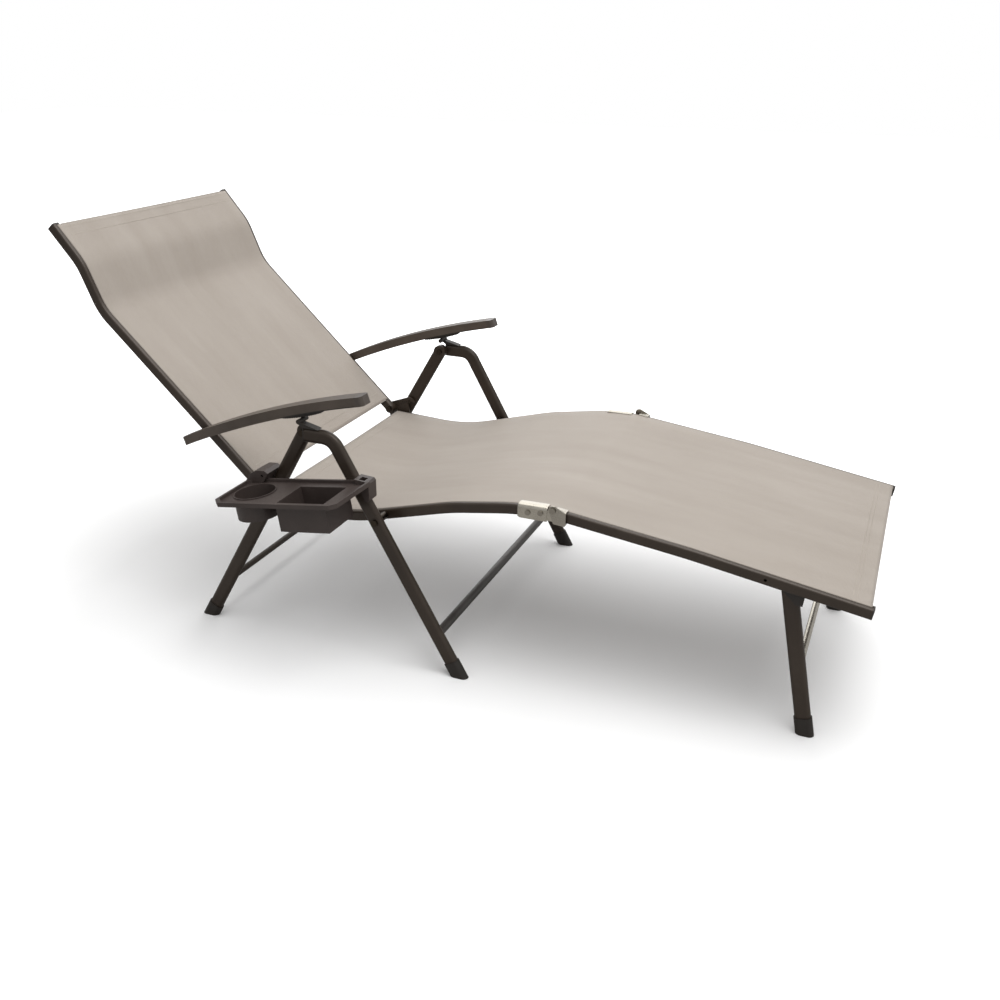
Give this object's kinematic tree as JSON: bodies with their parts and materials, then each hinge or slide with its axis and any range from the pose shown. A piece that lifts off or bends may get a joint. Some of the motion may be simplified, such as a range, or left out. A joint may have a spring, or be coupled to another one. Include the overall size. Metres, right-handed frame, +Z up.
{
  "type": "folding beach lounge chair",
  "caption": "Folding beach lounge chair with a reclining sling back, arched armrests, a fold-over leg rest, folding legs and a clip-on tray with a cup well.",
  "frame": {"origin": "middle of the bounding box, on the floor under the feet", "axes": "+X towards the sitter's feet, along the chair's length; +Z up; the sitter's right side, with the tray, is -Y"},
  "size_m": [1.7328, 0.8335, 0.8562],
  "materials": {
    "frame": "satin powder coat, dark bronze",
    "sling": "open woven mesh, taupe",
    "plated": "bright zinc plate",
    "black_plastic": "matte moulded, black",
    "arm_plastic": "satin moulded, bronze brown",
    "tray": "matte moulded, dark brown"
  },
  "bodies": {
    "seat": {"seat_rail_right": "frame", "seat_rail_left": "frame", "seat_rear_bar": "frame", "seat_front_bar": "frame", "seat_sling": "sling", "seat_end_caps": "black_plastic", "hook_plate_right": "frame", "hook_plate_left": "frame", "plate_rivets": "plated", "cross_bolts": "plated", "cross_spacers": "black_plastic", "knee_plate_right": "plated", "knee_plate_left": "plated", "knee_rivets": "plated", "knee_pins": "plated", "back_pivot_pins": "plated"},
    "back": {"back_rail_right": "frame", "back_rail_left": "frame", "back_lower_bar": "frame", "back_upper_bar": "frame", "back_sling": "sling", "back_end_caps": "black_plastic", "arm_bolts": "plated", "arm_spacers": "black_plastic"},
    "arm_right": {"armrest_right": "arm_plastic", "rack_right": "black_plastic", "arm_cap_right": "black_plastic"},
    "arm_left": {"armrest_left": "arm_plastic", "rack_left": "black_plastic", "arm_cap_left": "black_plastic"},
    "leg_rest": {"leg_rail_right": "frame", "leg_rail_left": "frame", "leg_rear_bar": "frame", "leg_end_bar": "frame", "leg_sling": "sling", "leg_end_caps": "black_plastic", "knee_collar_right": "plated", "knee_collar_left": "plated", "end_mount_right": "black_plastic", "end_mount_left": "black_plastic", "end_bolts": "plated"},
    "end_legs": {"end_leg_right": "frame", "end_leg_left": "frame", "end_leg_bar": "plated", "end_feet": "black_plastic"},
    "front_legs": {"front_leg_right": "frame", "front_leg_left": "frame", "front_leg_bar": "frame", "front_feet": "black_plastic", "peg_hook_right": "black_plastic", "peg_hook_left": "black_plastic", "apex_bolts": "plated"},
    "rear_legs": {"rear_leg_right": "frame", "rear_leg_left": "frame", "rear_leg_bar": "frame", "rear_feet": "black_plastic", "hook_studs": "plated"},
    "tray": {"tray": "tray"}
  },
  "joints": [
    {"name": "back_recline", "type": "hinge", "parent": "seat", "child": "back", "pos_m": [-0.38805, 0.06775, 0.326], "axis": [0, 1, 0], "range_deg": [-29, 23]},
    {"name": "arm_swing_right", "type": "hinge", "parent": "back", "child": "arm_right", "pos_m": [-0.50734, 0.06775, 0.44], "axis": [0, 1, 0], "range_deg": [-15.6, 19.6]},
    {"name": "arm_swing_left", "type": "hinge", "parent": "back", "child": "arm_left", "pos_m": [-0.50734, 0.06775, 0.44], "axis": [0, 1, 0], "range_deg": [-15.6, 19.6]},
    {"name": "legs_fold", "type": "hinge", "parent": "seat", "child": "front_legs", "pos_m": [-0.09031, 0.06775, 0.32217], "axis": [0, -1, 0], "range_deg": [0, 66]},
    {"name": "rear_legs_close", "type": "hinge", "parent": "front_legs", "child": "rear_legs", "pos_m": [-0.25405, 0.06775, 0.487], "axis": [0, -1, 0], "range_deg": [0, 61]},
    {"name": "leg_rest_fold", "type": "hinge", "parent": "seat", "child": "leg_rest", "pos_m": [0.2737, 0.06775, 0.398], "axis": [0, -1, 0], "range_deg": [0, 172]},
    {"name": "end_legs_fold", "type": "hinge", "parent": "leg_rest", "child": "end_legs", "pos_m": [0.71417, 0.06775, 0.31487], "axis": [0, 1, 0], "range_deg": [0, 100]},
    {"name": "tray_lift", "type": "slide", "parent": "front_legs", "child": "tray", "axis": [0, 0, 1], "range_m": [0, 0.05]}
  ],
  "couplings": [
    {"joint": "arm_swing_right", "follows": "back_recline", "ratio": -0.67},
    {"joint": "arm_swing_left", "follows": "back_recline", "ratio": -0.67},
    {"joint": "rear_legs_close", "follows": "legs_fold", "ratio": 0.9242}
  ]
}
